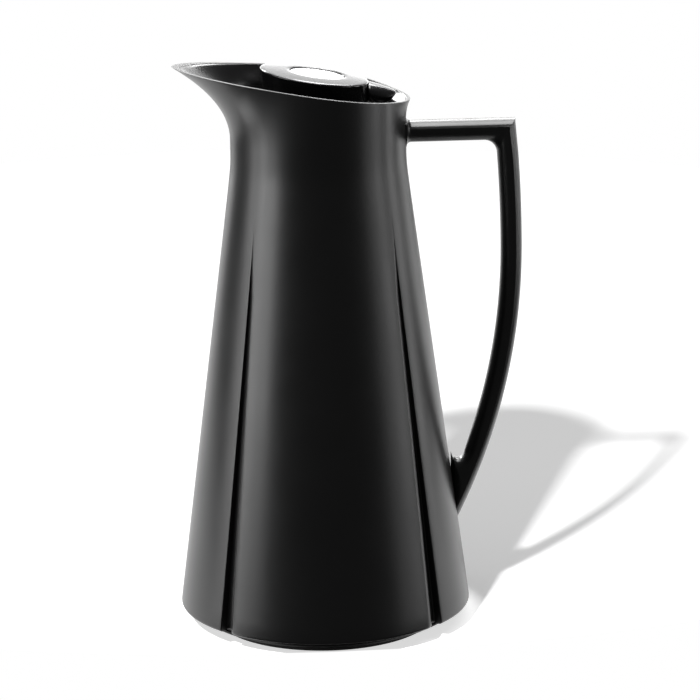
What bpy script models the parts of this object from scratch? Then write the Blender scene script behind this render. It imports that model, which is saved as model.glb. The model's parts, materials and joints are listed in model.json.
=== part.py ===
"""Vacuum coffee jug with a press-button stopper, as separate pieces in one shared frame.

Origin: on the body's vertical axis, on the surface that the jug stands on. +Z is up,
the pouring spout points along -X and the handle along +X.
"""

from math import atan2, cos, hypot, pi, radians, sin, sqrt, tan

import bmesh
import bpy
from mathutils import Matrix, Vector

MM = 0.001
GAP = 0.3 * MM  # clearance between touching pieces

# Body cone and neck
BASE_RADIUS = 72.0 * MM
BASE_EDGE_Z = 9.0 * MM
CONE_SLOPE = 0.1323  # radius lost per unit of height
NECK_RADIUS = 42.6 * MM
NECK_BLEND = 0.6 * MM  # how softly the cone turns into the neck
NECK_Z = 240.0 * MM
BODY_WALL = 4.8 * MM
RIM_WALL = 2.0 * MM
BASE_BORE = 65.5 * MM
BASE_BORE_TOP_Z = 24.0 * MM

# Rim and spout
RIM_MIDDLE_Z = 269.45 * MM
RIM_SLOPE = 0.157
RIM_ARCH = 1.4 * MM  # how far the rim rises halfway round each side
SPOUT_FOOT_Z = 243.0 * MM
SPOUT_TIP_Z = 280.5 * MM
SPOUT_GROWTH = 27.9 * MM  # what the spout adds to the neck's radius at its tip
SPOUT_POWER = 2.15  # how late the spout leaves the neck
SPOUT_SPAN = radians(90)  # half of the angle that the spout takes up
SPOUT_ROUND = 1.6
SPOUT_FALL = 3.6
LIP_FOOT_Z = 250.0 * MM
LIP_TOP_Z = 262.4 * MM
LIP_GROWTH = 2.4 * MM  # the small outward lip above the handle
LIP_SPAN = radians(35)

# Tapering grooves
GROOVE_ANGLE = radians(43.65)  # from the spout's and the handle's axis
GROOVE_TOP_Z = 207.0 * MM
GROOVE_SPREAD = 0.0120  # half width for each length below the top
GROOVE_FLARE = 0.017  # more half width for each squared length, in metres
GROOVE_DEPTH = 1.3  # depth for each half width

# Handle
HANDLE_HALF_WIDTH = 6.3 * MM
HANDLE_THICKNESS = 10.5 * MM
HANDLE_CROWN = 3.1 * MM
HANDLE_SIDE = 1.2 * MM
HANDLE_REACH = 99.1 * MM
HANDLE_WIDEST_Z = 187.0 * MM
HANDLE_UPPER_RADIUS = 670.0 * MM
HANDLE_LOWER_RADIUS = 307.0 * MM
ARM_TOP_Z = 251.2 * MM
ARM_BOTTOM_Z = 240.5 * MM
CORNER_RADIUS = 6.5 * MM
HANDLE_FOOT_Z = 52.5 * MM
CROTCH_Z = 80.0 * MM
CROTCH_RADIUS = 3.4 * MM
ROOT_FILLET = 2.5 * MM
UPPER_SCREW_Z = 245.5 * MM
LOWER_SCREW_Z = 66.0 * MM

# Glass liner
FLASK_RADIUS = 52.0 * MM
FLASK_LOW_Z = 48.0 * MM
FLASK_TALL_Z = 112.0 * MM
FLASK_SHOULDER_Z = 190.0 * MM
FLASK_SHOULDER_RADIUS = 42.0 * MM
FLASK_NECK_Z = 207.0 * MM
FLASK_MOUTH_Z = 222.0 * MM
FLASK_NECK_RADIUS = 27.2 * MM
FLASK_BOTTOM_Z = 19.0 * MM
GLASS = 1.6 * MM
VACUUM = 4.4 * MM
NECK_VACUUM = 1.6 * MM

# Collar, stopper and button
BORE_RADIUS = 28.4 * MM
BORE_TOP_Z = 251.4 * MM
SHELF_Z = 254.0 * MM  # where the collar's funnel begins
STOPPER_FLOOR_Z = 228.0 * MM
STOPPER_RADIUS = 27.9 * MM
STOPPER_NECK_RADIUS = 24.3 * MM
CAP_SEAT_Z = 262.0 * MM
CAP_SKIRT_RADIUS = 24.6 * MM
CAP_RADIUS = 26.1 * MM
CAP_CENTRE_X = -1.4 * MM
CAP_CENTRE_Z = 274.3 * MM
CAP_TILT = tan(radians(8.5))
CAP_DOME = 1.5 * MM
BUTTON_HOLE_RADIUS = 13.3 * MM
BUTTON_RADIUS = 12.9 * MM
TAB_REACH = 38.3 * MM
STEM_RADIUS = 2.0 * MM
SPRING_RADIUS = 6.3 * MM
SPRING_WIRE = 0.55 * MM
SPRING_TURNS = 7

# How finely round pieces are faceted
SHELL_SIDES = 48
PLAIN_SIDES = 32
SMALL_SIDES = 16


def clear_scene():
    for obj in list(bpy.data.objects):
        bpy.data.objects.remove(obj, do_unlink=True)


def look(name, colour, roughness, metallic=0.0, alpha=1.0):
    material = bpy.data.materials.new(name)
    material.use_nodes = True
    shader = material.node_tree.nodes["Principled BSDF"]
    shader.inputs["Base Color"].default_value = (*colour, 1.0)
    shader.inputs["Roughness"].default_value = roughness
    shader.inputs["Metallic"].default_value = metallic
    shader.inputs["Alpha"].default_value = alpha
    material.diffuse_color = (*colour, 1.0)
    return material


def add_object(name, mesh, material):
    obj = bpy.data.objects.new(name, mesh)
    bpy.context.scene.collection.objects.link(obj)
    if material:
        mesh.materials.append(material)
    return obj


def mesh_of(name, bm, smooth_angle=radians(35)):
    """A mesh from closed faces, with its faces pointing out."""
    bmesh.ops.recalc_face_normals(bm, faces=bm.faces)
    mesh = bpy.data.meshes.new(name)
    bm.to_mesh(mesh)
    bm.free()
    mesh.shade_smooth()
    mesh.set_sharp_from_angle(angle=smooth_angle)
    return mesh


def turned(name, outline, material, sides=PLAIN_SIDES):
    """A turned piece. The outline of (radius, height) points runs down the outside.

    An outline that starts and ends on the axis makes a solid, any other makes a ring.
    """
    mesh = bpy.data.meshes.new(name)
    points = [(radius, 0.0, height) for radius, height in outline]
    edges = [(i, i + 1) for i in range(len(points) - 1)]
    if outline[0][0] > 0 or outline[-1][0] > 0:
        edges.append((len(points) - 1, 0))
    mesh.from_pydata(points, edges, [])
    obj = add_object(name, mesh, material)
    screw = obj.modifiers.new("Turn", "SCREW")
    screw.axis = "Z"
    screw.steps = sides
    screw.render_steps = sides
    screw.use_merge_vertices = True
    screw.merge_threshold = 0.01 * MM
    screw.use_smooth_shade = True
    return obj


def lofted(name, rings, material, closed=False):
    """A surface through rings of equally many points, capped at its ends unless closed."""
    bm = bmesh.new()
    loops = [[bm.verts.new(point) for point in ring] for ring in rings]
    count = len(loops[0])
    pairs = list(zip(loops, loops[1:]))
    if closed:
        pairs.append((loops[-1], loops[0]))
    else:
        bm.faces.new(loops[0])
        bm.faces.new(loops[-1])
    for low, high in pairs:
        for i in range(count):
            j = (i + 1) % count
            bm.faces.new((low[i], low[j], high[j], high[i]))
    return add_object(name, mesh_of(name, bm), material)


def rod(name, start, end, radius, material=None, sides=SMALL_SIDES):
    """A straight round bar between two points."""
    bm = bmesh.new()
    bmesh.ops.create_cone(bm, cap_ends=True, segments=sides, radius1=radius, radius2=radius,
                          depth=(end - start).length)
    obj = add_object(name, mesh_of(name, bm), material)
    direction = (end - start).normalized()
    obj.rotation_euler = direction.to_track_quat("Z", "Y").to_euler()
    obj.location = (start + end) / 2
    return obj


def block(name, low, high):
    """A box between two corners, used as a cutter."""
    bm = bmesh.new()
    bmesh.ops.create_cube(bm, size=1.0)
    size = Vector(high) - Vector(low)
    bmesh.ops.scale(bm, vec=size, verts=bm.verts)
    bmesh.ops.translate(bm, vec=(Vector(low) + Vector(high)) / 2, verts=bm.verts)
    return add_object(name, mesh_of(name, bm), None)


def combine(obj, helper, operation="DIFFERENCE"):
    boolean = obj.modifiers.new(helper.name, "BOOLEAN")
    boolean.operation = operation
    boolean.solver = "EXACT"
    boolean.object = helper
    helper.hide_render = True
    helper.display_type = "WIRE"


def around(sides=SHELL_SIDES):
    return [2 * pi * i / sides for i in range(sides)]


def polar(radius, angle, height):
    return Vector((radius * cos(angle), radius * sin(angle), height))


# The body's outer surface, as a radius at each angle and height ------------------------


def cone_radius(z):
    """The body of revolution under the spout: a cone that turns softly into the neck."""
    over = BASE_RADIUS - CONE_SLOPE * (z - BASE_EDGE_Z) - NECK_RADIUS
    return NECK_RADIUS + (over + hypot(over, NECK_BLEND)) / 2


def angle_off(angle, middle):
    return abs(atan2(sin(angle - middle), cos(angle - middle)))


def body_radius(angle, z):
    """Cone and neck with the spout on one side and the small lip on the other."""
    rise = max((z - SPOUT_FOOT_Z) / (SPOUT_TIP_Z - SPOUT_FOOT_Z), 0.0)
    share = min(angle_off(angle, pi) / SPOUT_SPAN, 1.0)
    spout = SPOUT_GROWTH * rise**SPOUT_POWER * (1 - share**SPOUT_ROUND) ** SPOUT_FALL
    rise = max((z - LIP_FOOT_Z) / (LIP_TOP_Z - LIP_FOOT_Z), 0.0)
    share = min(angle_off(angle, 0) / LIP_SPAN, 1.0)
    lip = LIP_GROWTH * rise**3 * cos(pi / 2 * share) ** 2
    return cone_radius(z) + spout + lip


def rim_z(angle):
    """The rim's height: a sloping plane, arched a little halfway round."""
    z = RIM_MIDDLE_Z
    for _ in range(40):
        z = RIM_MIDDLE_Z - RIM_SLOPE * body_radius(angle, z) * cos(angle)
        z += RIM_ARCH * sin(angle) ** 2
    return z


def offset_radius(angle, z, wall):
    """The radius of a surface that lies a wall's thickness inside the body's outer one."""
    step = 0.5 * MM
    turn = radians(1)
    here = body_radius(angle, z)
    lean = (here - body_radius(angle, z - step)) / step
    swing = (body_radius(angle + turn, z) - body_radius(angle - turn, z)) / (2 * turn * here)
    return here - wall * sqrt(1 + lean * lean + swing * swing)


def shell_wall(z):
    """The shell is thick on the cone and thins towards the rim."""
    share = min(max((z - NECK_Z) / (LIP_TOP_Z - NECK_Z), 0.0), 1.0)
    return BODY_WALL + (RIM_WALL - BODY_WALL) * share


def shell_inside(angle, z):
    return offset_radius(angle, z, shell_wall(z))


def upper_ring(angle_radius, share, start_z, drop=0.0):
    """A ring between a level height and the sloping rim. share is 1 on the rim."""
    ring = []
    for angle in around():
        z = start_z + share * (rim_z(angle) - drop - start_z)
        ring.append(polar(angle_radius(angle, z), angle, z))
    return ring


def level_ring(radius, z):
    return [polar(radius, angle, z) for angle in around()]


# Root body -----------------------------------------------------------------------------


def make_outer_shell(material):
    edge = 1.5 * MM
    rings = [
        level_ring(BASE_RADIUS - edge, BASE_EDGE_Z),
        level_ring(BASE_RADIUS - 0.3 * edge, BASE_EDGE_Z + 0.3 * edge),
        level_ring(cone_radius(BASE_EDGE_Z + edge), BASE_EDGE_Z + edge),
    ]
    rings += [level_ring(cone_radius(z * MM), z * MM) for z in (120, 224, 228, 231, 234, 240)]
    rings += [upper_ring(body_radius, share, NECK_Z) for share in (0.25, 0.45, 0.65, 0.83, 1.0)]
    rings += [upper_ring(shell_inside, share, SHELF_Z) for share in (1.0, 0.75, 0.5, 0.25, 0.0)]
    for z in (240, 231):
        rings.append(level_ring(cone_radius(z * MM) - BODY_WALL, z * MM))
    low = BASE_BORE_TOP_Z + 2 * MM
    rings.append(level_ring(cone_radius(low) - BODY_WALL, low))
    rings.append(level_ring(BASE_BORE, BASE_BORE_TOP_Z))
    rings.append(level_ring(BASE_BORE, BASE_EDGE_Z))
    shell = lofted("outer_shell", rings, material, closed=True)
    turns = (GROOVE_ANGLE, pi - GROOVE_ANGLE, pi + GROOVE_ANGLE, -GROOVE_ANGLE)
    for number, angle in enumerate(turns):
        combine(shell, make_groove_cutter(number, angle))
    for label, z in (("upper", UPPER_SCREW_Z), ("lower", LOWER_SCREW_Z)):
        hole = rod(f"cutter_shell_hole_{label}", Vector((30 * MM, 0, z)),
                   Vector((80 * MM, 0, z)), 1.8 * MM)
        combine(shell, hole)
    return shell


def make_groove_cutter(number, angle):
    """A wedge that runs down the cone: nothing at its top, full width and depth at the foot."""
    rings = []
    for z in (BASE_EDGE_Z - 3 * MM, 100 * MM, GROOVE_TOP_Z):
        below = GROOVE_TOP_Z - z
        half = max(GROOVE_SPREAD * below + GROOVE_FLARE * below * below, 0.05 * MM)
        surface = BASE_RADIUS - CONE_SLOPE * (z - BASE_EDGE_Z)
        deep = surface - GROOVE_DEPTH * half
        out = surface + 3 * MM
        corners = ((deep, -0.85 * half), (out, -half), (out, half), (deep, 0.85 * half))
        turn = Matrix.Rotation(angle, 3, "Z")
        rings.append([turn @ Vector((x, y, z)) for x, y in corners])
    return lofted(f"cutter_groove_{number + 1}", rings, None)


def ridge_x(z):
    """The handle's outermost line: two arcs that share an upright tangent."""
    off = z - HANDLE_WIDEST_Z
    bend = HANDLE_UPPER_RADIUS if off > 0 else HANDLE_LOWER_RADIUS
    return HANDLE_REACH - bend + sqrt(bend * bend - off * off)


def ridge_normal(z):
    """The direction from the ridge into the handle, square to the ridge."""
    off = z - HANDLE_WIDEST_Z
    bend = HANDLE_UPPER_RADIUS if off > 0 else HANDLE_LOWER_RADIUS
    lean = off / bend
    return Vector((-sqrt(1 - lean * lean), 0, -lean))


def handle_section(ridge, edge, side, inner, half_width=HANDLE_HALF_WIDTH):
    """One ring of the handle: crowned outside, short flat sides, half-round inside.

    ridge, edge, side and inner are the points where those stretches begin, in the
    plane y = 0.
    """
    crown = HANDLE_CROWN
    bend = (half_width**2 + crown**2) / (2 * crown)
    ring = []
    for share in (-1, -0.6, -0.3, 0, 0.3, 0.6, 1):
        y = share * half_width
        rise = (sqrt(bend * bend - y * y) - (bend - crown)) / crown
        point = edge.lerp(ridge, rise)
        ring.append(Vector((point.x, y, point.z)))
    for step in range(7):
        turn = pi * step / 6
        point = side.lerp(inner, sin(turn))
        ring.append(Vector((point.x, half_width * cos(turn), point.z)))
    return ring


def make_handle(material):
    """The arm, the mitred corner and the bowed limb in one moulding, seated on the shell."""
    down = Vector((0, 0, -1))
    corner = Vector((ridge_x(ARM_TOP_Z), 0, ARM_TOP_Z))
    half_round = HANDLE_THICKNESS - HANDLE_CROWN - HANDLE_SIDE
    rings = []
    # The arm's root, flared by the fillet where it meets the neck.
    seat = NECK_RADIUS + GAP
    flares = [(seat - 3 * MM, ROOT_FILLET), (seat, ROOT_FILLET)]
    for step in (1, 2, 3):
        turn = pi / 2 * step / 3
        flares.append((seat + ROOT_FILLET * (1 - cos(turn)), ROOT_FILLET * (1 - sin(turn))))
    for x, spread in flares:
        top = Vector((x, 0, ARM_TOP_Z + spread))
        edge = top + down * HANDLE_CROWN
        rings.append(handle_section(top, edge, edge + down * (HANDLE_SIDE + spread),
                                    Vector((x, 0, ARM_BOTTOM_Z - spread)),
                                    HANDLE_HALF_WIDTH + spread))
    # The corner: the ridge and the edges are mitred, the inside is an arc.
    inside_x = ridge_x(ARM_BOTTOM_Z - CORNER_RADIUS) - HANDLE_THICKNESS
    centre = Vector((inside_x - CORNER_RADIUS, 0, ARM_BOTTOM_Z - CORNER_RADIUS))
    mitre = Vector((-1, 0, -1))
    for step in range(5):
        turn = pi / 2 * (1 - step / 4)
        inner = centre + CORNER_RADIUS * Vector((cos(turn), 0, sin(turn)))
        slide = (step - 2) * 0.4 * MM
        along = Vector((slide, 0, 0)) if slide < 0 else Vector((0, 0, -slide))
        rings.append(handle_section(corner + along, corner + along + mitre * HANDLE_CROWN,
                                    corner + along + mitre * (HANDLE_CROWN + HANDLE_SIDE), inner))
    # The limb, down to the crotch above its foot.
    top_z = centre.z + 0.5 * MM
    for step in range(13):
        z = top_z + (95 * MM - top_z) * step / 12
        ridge = Vector((ridge_x(z), 0, z))
        into = ridge_normal(z)
        rings.append(handle_section(ridge, ridge + into * HANDLE_CROWN,
                                    ridge + into * (HANDLE_THICKNESS - half_round),
                                    ridge + into * HANDLE_THICKNESS))
    # The foot: its inside turns through the crotch and into the shell.
    crotch_x = cone_radius(CROTCH_Z) + CROTCH_RADIUS + 0.8 * MM
    crotch = Vector((crotch_x, 0, CROTCH_Z + CROTCH_RADIUS))
    for step in range(8):
        z = (86 - 5 * step) * MM
        turn = -pi * min(step / 4, 1)
        inner = crotch + CROTCH_RADIUS * Vector((cos(turn), 0, sin(turn)))
        if step > 4:
            inner = Vector((cone_radius(z) - 3 * MM, 0, z))
        ridge = Vector((ridge_x(z), 0, z))
        into = ridge_normal(z)
        edge = ridge + into * HANDLE_CROWN
        rings.append(handle_section(ridge, edge, edge + into * HANDLE_SIDE, inner))
    handle = lofted("handle", rings, material)
    combine(handle, make_seat_cutter())
    for label, z, depth in (("upper", UPPER_SCREW_Z, 54.5 * MM), ("lower", LOWER_SCREW_Z, 71 * MM)):
        hole = rod(f"cutter_handle_hole_{label}", Vector((30 * MM, 0, z)),
                   Vector((depth, 0, z)), 1.8 * MM)
        combine(handle, hole)
    return handle


def make_seat_cutter():
    """The body's outer surface grown by the gap, which shapes the handle's two seats."""
    heights = [z * MM for z in (20, 120, 224, 228, 231, 234, 240, 258)]
    outline = [(0, heights[-1])]
    outline += [(cone_radius(z) + GAP, z) for z in reversed(heights)]
    outline.append((0, heights[0]))
    return turned("cutter_handle_seat", outline, None, SHELL_SIDES)


def make_screw(name, head_x, tip_x, z, material):
    """A pan-head screw that lies along X, its head inside the shell."""
    head = 2.3 * MM
    outline = [
        (0, 0),
        (1.8 * MM, -0.2 * MM),
        (2.9 * MM, -1.0 * MM),
        (2.9 * MM, -head),
        (1.45 * MM, -head),
        (1.45 * MM, head_x - tip_x + 1.5 * MM),
        (0, head_x - tip_x),
    ]
    screw = turned(name, outline, material, 12)
    screw.location = (head_x, 0, z)
    screw.rotation_euler = (0, radians(-90), 0)
    return screw


def make_pouring_collar(material):
    """The glossy funnel inside the rim, with the bore that holds the stopper."""
    wall = 1.8 * MM

    def outside(angle, z):
        return shell_inside(angle, z) - GAP

    def inside(angle, z):
        return offset_radius(angle, z, shell_wall(z) + GAP + wall)

    shares = (1.0, 0.75, 0.5, 0.25, 0.0)
    drop = 1.0 * MM
    skirt = BORE_RADIUS + 2.4 * MM
    rings = [upper_ring(outside, share, SHELF_Z, drop) for share in shares]
    rings += [
        level_ring(skirt + 2 * MM, 251 * MM),
        level_ring(skirt, 248 * MM),
        level_ring(skirt, 214 * MM),
        level_ring(27.7 * MM, 214 * MM),
        level_ring(27.7 * MM, 224.6 * MM),
        level_ring(22.9 * MM, 224.6 * MM),
        level_ring(22.9 * MM, 227.7 * MM),
        level_ring(BORE_RADIUS, 227.7 * MM),
        level_ring(BORE_RADIUS, BORE_TOP_Z),
        level_ring(BORE_RADIUS + 1.2 * MM, BORE_TOP_Z + 1.2 * MM),
        level_ring(33 * MM, 254.0 * MM),
    ]
    rings += [upper_ring(inside, share, 256.5 * MM, drop) for share in reversed(shares)]
    return lofted("pouring_collar", rings, material, closed=True)


def flask_curve(inset, neck_inset, bottom_inset):
    """The liner's outline from mouth to bottom, a given distance inside the outer glass."""
    points = [
        (FLASK_NECK_RADIUS - neck_inset, FLASK_NECK_Z),
        (FLASK_NECK_RADIUS + 1.5 * MM - neck_inset, FLASK_NECK_Z - 3 * MM),
        (FLASK_SHOULDER_RADIUS - 6 * MM - inset, FLASK_SHOULDER_Z + 7.5 * MM),
        (FLASK_SHOULDER_RADIUS - 1.5 * MM - inset, FLASK_SHOULDER_Z + 1.5 * MM),
        (FLASK_SHOULDER_RADIUS - inset, FLASK_SHOULDER_Z - 5 * MM),
        (FLASK_RADIUS - inset, FLASK_TALL_Z),
        (FLASK_RADIUS - inset, FLASK_LOW_Z),
    ]
    wide = FLASK_RADIUS - inset
    drop = FLASK_LOW_Z - FLASK_BOTTOM_Z - bottom_inset
    for step in range(1, 6):
        turn = pi / 2 * step / 6
        points.append((wide * cos(turn), FLASK_LOW_Z - drop * sin(turn)))
    return points


def make_flask_outer(material):
    """The outer glass, with its sealed tip at the bottom."""
    mouth = FLASK_MOUTH_Z
    tip = [(4 * MM, FLASK_BOTTOM_Z + 0.1 * MM), (2.6 * MM, 15 * MM), (0, 12 * MM)]
    outside = [
        (25.3 * MM, mouth),
        (FLASK_NECK_RADIUS - 0.4 * MM, mouth - 0.9 * MM),
        (FLASK_NECK_RADIUS, mouth - 2 * MM),
        *flask_curve(0, 0, 0),
        *tip,
    ]
    inside = [(0, FLASK_BOTTOM_Z + GLASS)]
    inside += reversed(flask_curve(GLASS, GLASS, GLASS))
    inside.append((FLASK_NECK_RADIUS - GLASS, mouth - 2.2 * MM))
    inside.append((25.3 * MM, mouth - 1.2 * MM))
    return ring_with_floor("flask_outer_wall", outside, inside, material)


def make_flask_inner(material):
    """The inner glass, which holds the coffee. It meets the outer glass at the mouth."""
    inset = GLASS + VACUUM
    neck = GLASS + NECK_VACUUM
    mouth = FLASK_MOUTH_Z
    outside = [
        (25.0 * MM, mouth),
        (25.0 * MM, mouth - 1.2 * MM),
        (FLASK_NECK_RADIUS - neck, mouth - 2.4 * MM),
        *flask_curve(inset, neck, inset),
        (0, FLASK_BOTTOM_Z + inset),
    ]
    inside = [(0, FLASK_BOTTOM_Z + inset + GLASS)]
    inside += reversed(flask_curve(inset + GLASS, neck + GLASS, inset + GLASS))
    inside.append((FLASK_NECK_RADIUS - neck - GLASS, mouth - 1 * MM))
    inside.append((FLASK_NECK_RADIUS - neck - GLASS + 1 * MM, mouth))
    return ring_with_floor("flask_inner_wall", outside, inside, material)


def ring_with_floor(name, outside, inside, material):
    """A turned vessel: down the outside to the axis, then up the inside to the mouth."""
    sides = PLAIN_SIDES
    bm = bmesh.new()
    outline = outside + inside
    columns = []
    poles = {}
    for index in range(sides):
        angle = 2 * pi * index / sides
        column = []
        for place, (radius, height) in enumerate(outline):
            if radius == 0:
                if place not in poles:
                    poles[place] = bm.verts.new((0, 0, height))
                column.append(poles[place])
            else:
                column.append(bm.verts.new(polar(radius, angle, height)))
        columns.append(column)
    count = len(outline)
    for index in range(sides):
        here = columns[index]
        there = columns[(index + 1) % sides]
        for place in range(count):
            follow = (place + 1) % count
            corners = [here[place], here[follow], there[follow], there[place]]
            corners = [v for i, v in enumerate(corners) if v not in corners[:i]]
            if len(corners) > 2:
                bm.faces.new(corners)
    return add_object(name, mesh_of(name, bm), material)


def make_spacers(material):
    """Small pads that keep the two glass walls apart."""
    inner = FLASK_RADIUS - GLASS - VACUUM
    for number in range(3):
        angle = radians(90 + 120 * number)
        start = polar(inner + 0.4 * MM, angle, 100 * MM)
        end = polar(inner + VACUUM - 0.6 * MM, angle, 100 * MM)
        rod(f"flask_spacer_{number + 1}", start, end, 4.5 * MM, material, 12)


def flask_bottom_z(radius):
    """The height of the liner's rounded bottom at a radius."""
    share = radius / FLASK_RADIUS
    return FLASK_LOW_Z - (FLASK_LOW_Z - FLASK_BOTTOM_Z) * sqrt(1 - share * share)


def make_base(cushion_look, plastic_look, pad_look):
    """What closes the jug below: cushion, support cup, screw-in cap and non-slip pad."""
    clear = 0.5 * MM
    top = [(r * MM, flask_bottom_z(r * MM) - clear) for r in (8, 14, 20, 26)]
    turned("flask_cushion", [(26 * MM, top[-1][1]), (26 * MM, 8.3 * MM), (8 * MM, 8.3 * MM),
                             *top[:-1]], cushion_look)
    turned("flask_support", [
        (28.4 * MM, 18 * MM),
        (28.4 * MM, 5.3 * MM),
        (6 * MM, 5.3 * MM),
        (6 * MM, 8.0 * MM),
        (26.3 * MM, 8.0 * MM),
        (26.3 * MM, 18 * MM),
    ], plastic_look)
    turned("base_cap", [
        (BASE_BORE - GAP - 1 * MM, BASE_BORE_TOP_Z),
        (BASE_BORE - GAP, BASE_BORE_TOP_Z - 1 * MM),
        (BASE_BORE - GAP, BASE_EDGE_Z - GAP),
        (68.0 * MM, BASE_EDGE_Z - GAP),
        (66.5 * MM, 7.0 * MM),
        (62.0 * MM, 4.4 * MM),
        (56.5 * MM, 2.9 * MM),
        (54.8 * MM, 2.3 * MM),
        (12 * MM, 2.3 * MM),
        (12 * MM, 5.0 * MM),
        (28.7 * MM, 5.0 * MM),
        (28.7 * MM, 15 * MM),
        (31 * MM, 15 * MM),
        (31 * MM, 5.0 * MM),
        (56 * MM, 5.4 * MM),
        (61.5 * MM, 8.0 * MM),
        (62.8 * MM, 11 * MM),
        (62.8 * MM, BASE_BORE_TOP_Z),
    ], plastic_look, SHELL_SIDES)
    turned("foot_pad", [
        (0, 2.0 * MM),
        (54.0 * MM, 2.0 * MM),
        (54.5 * MM, 1.5 * MM),
        (54.5 * MM, 0.4 * MM),
        (54.1 * MM, 0),
        (0, 0),
    ], pad_look, SHELL_SIDES)


def make_neck_gasket(material):
    turned("neck_gasket", [
        (27.3 * MM, 224.2 * MM),
        (27.3 * MM, 222.3 * MM),
        (23.2 * MM, 222.3 * MM),
        (23.2 * MM, 224.2 * MM),
    ], material)


# Stopper -------------------------------------------------------------------------------


def make_stopper_body(material):
    """The lower housing: a cup with a valve seat, a guide for the stem and a side outlet."""
    floor = STOPPER_FLOOR_Z
    body = turned("stopper_body", [
        (STOPPER_NECK_RADIUS, CAP_SEAT_Z - GAP),
        (STOPPER_NECK_RADIUS, 253 * MM),
        (STOPPER_RADIUS, 251.5 * MM),
        (STOPPER_RADIUS, 238 * MM),
        (26.9 * MM, 238 * MM),
        (26.9 * MM, 233 * MM),
        (STOPPER_RADIUS, 233 * MM),
        (STOPPER_RADIUS, floor + 1 * MM),
        (STOPPER_RADIUS - 1 * MM, floor),
        (2.6 * MM, floor),
        (2.6 * MM, 244 * MM),
        (4.4 * MM, 244 * MM),
        (4.4 * MM, floor + 2.5 * MM),
        (24.9 * MM, floor + 2.5 * MM),
        (24.9 * MM, 250 * MM),
        (22.3 * MM, 252 * MM),
        (22.3 * MM, CAP_SEAT_Z - GAP),
    ], material)
    outlet = block("cutter_outlet", (-30 * MM, -9 * MM, 253.4 * MM), (-18 * MM, 9 * MM, 260.4 * MM))
    combine(body, outlet)
    for number in range(6):
        place = polar(9.5 * MM, 2 * pi * number / 6, 0)
        port = rod(f"cutter_port_{number + 1}", place + Vector((0, 0, floor - 2 * MM)),
                   place + Vector((0, 0, floor + 5 * MM)), 2.6 * MM, None, 12)
        combine(body, port)
    return body


def tilted_ring(radius, lift, centre_x=0.0, sides=PLAIN_SIDES):
    """A ring that is round from above and lies on the cap's sloping plane, plus a lift."""
    ring = []
    for angle in around(sides):
        x = centre_x + radius * cos(angle)
        z = CAP_CENTRE_Z + lift - CAP_TILT * (x - CAP_CENTRE_X)
        ring.append(Vector((x, radius * sin(angle), z)))
    return ring


def flat_ring(radius, z, sides=PLAIN_SIDES):
    return [polar(radius, angle, z) for angle in around(sides)]


def make_stopper_cap(material):
    """The visible lid: a conical skirt, a domed sloping top and a tab towards the handle."""
    hole_lift = CAP_DOME
    rings = [
        flat_ring(CAP_SKIRT_RADIUS, CAP_SEAT_Z),
        tilted_ring(CAP_RADIUS - 0.2 * MM, -0.4 * MM, CAP_CENTRE_X),
        tilted_ring(CAP_RADIUS, 0.3 * MM, CAP_CENTRE_X),
        tilted_ring(CAP_RADIUS - 0.8 * MM, 1.0 * MM, CAP_CENTRE_X),
        tilted_ring(20 * MM, 0.85 * CAP_DOME, 0.5 * CAP_CENTRE_X),
        tilted_ring(BUTTON_HOLE_RADIUS, hole_lift),
        tilted_ring(BUTTON_HOLE_RADIUS, -6 * MM),
        tilted_ring(15.3 * MM, -6 * MM),
        tilted_ring(15.3 * MM, -0.8 * MM),
        tilted_ring(23.4 * MM, -2.2 * MM, CAP_CENTRE_X),
        flat_ring(CAP_SKIRT_RADIUS - 2.3 * MM, CAP_SEAT_Z),
    ]
    cap = lofted("stopper_cap", rings, material, closed=True)
    combine(cap, make_tab(), "UNION")
    return cap


def make_tab():
    """The lifting tab behind the lid, undercut so that a finger gets under it."""
    stations = (
        (23.4, 8.2, 270.6, 262.4),
        (25.2, 8.1, 270.4, 261.0),
        (28.0, 7.9, 269.7, 259.7),
        (31.5, 7.3, 268.6, 259.8),
        (34.1, 6.6, 267.6, 260.4),
        (36.6, 5.0, 266.6, 262.8),
        (TAB_REACH / MM, 2.4, 265.8, 264.8),
    )
    rings = []
    for x, half, top, bottom in stations:
        middle = (top + bottom) / 2 * MM
        rise = (top - bottom) / 2 * MM
        ring = []
        for step in range(12):
            turn = 2 * pi * step / 12
            flat_y = abs(cos(turn)) ** 0.5
            flat_z = abs(sin(turn)) ** 0.5
            y = half * MM * flat_y * (1 if cos(turn) >= 0 else -1)
            z = middle + rise * flat_z * (1 if sin(turn) >= 0 else -1)
            ring.append(Vector((x * MM, y, z)))
        rings.append(ring)
    return lofted("helper_tab", rings, None)


def make_stopper_seal(material):
    turned("stopper_seal", [
        (27.9 * MM, 237.6 * MM),
        (28.1 * MM, 236.6 * MM),
        (27.8 * MM, 235.5 * MM),
        (28.1 * MM, 234.4 * MM),
        (27.9 * MM, 233.4 * MM),
        (27.2 * MM, 233.4 * MM),
        (27.2 * MM, 237.6 * MM),
    ], material)


# Button and valve ------------------------------------------------------------------------


def make_push_button(material):
    """The round steel face of the button, shallowly dished, on the cap's slope."""
    lift = CAP_DOME - 0.2 * MM
    rings = [
        tilted_ring(0.3 * MM, lift - 0.35 * MM),
        tilted_ring(8 * MM, lift - 0.25 * MM),
        tilted_ring(12.2 * MM, lift),
        tilted_ring(BUTTON_RADIUS, lift - 0.4 * MM),
        tilted_ring(BUTTON_RADIUS, lift - 2.0 * MM),
        tilted_ring(12.2 * MM, lift - 2.0 * MM),
        tilted_ring(12.0 * MM, lift - 1.3 * MM),
        tilted_ring(0.3 * MM, lift - 1.3 * MM),
    ]
    return lofted("push_button", rings, material)


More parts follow.
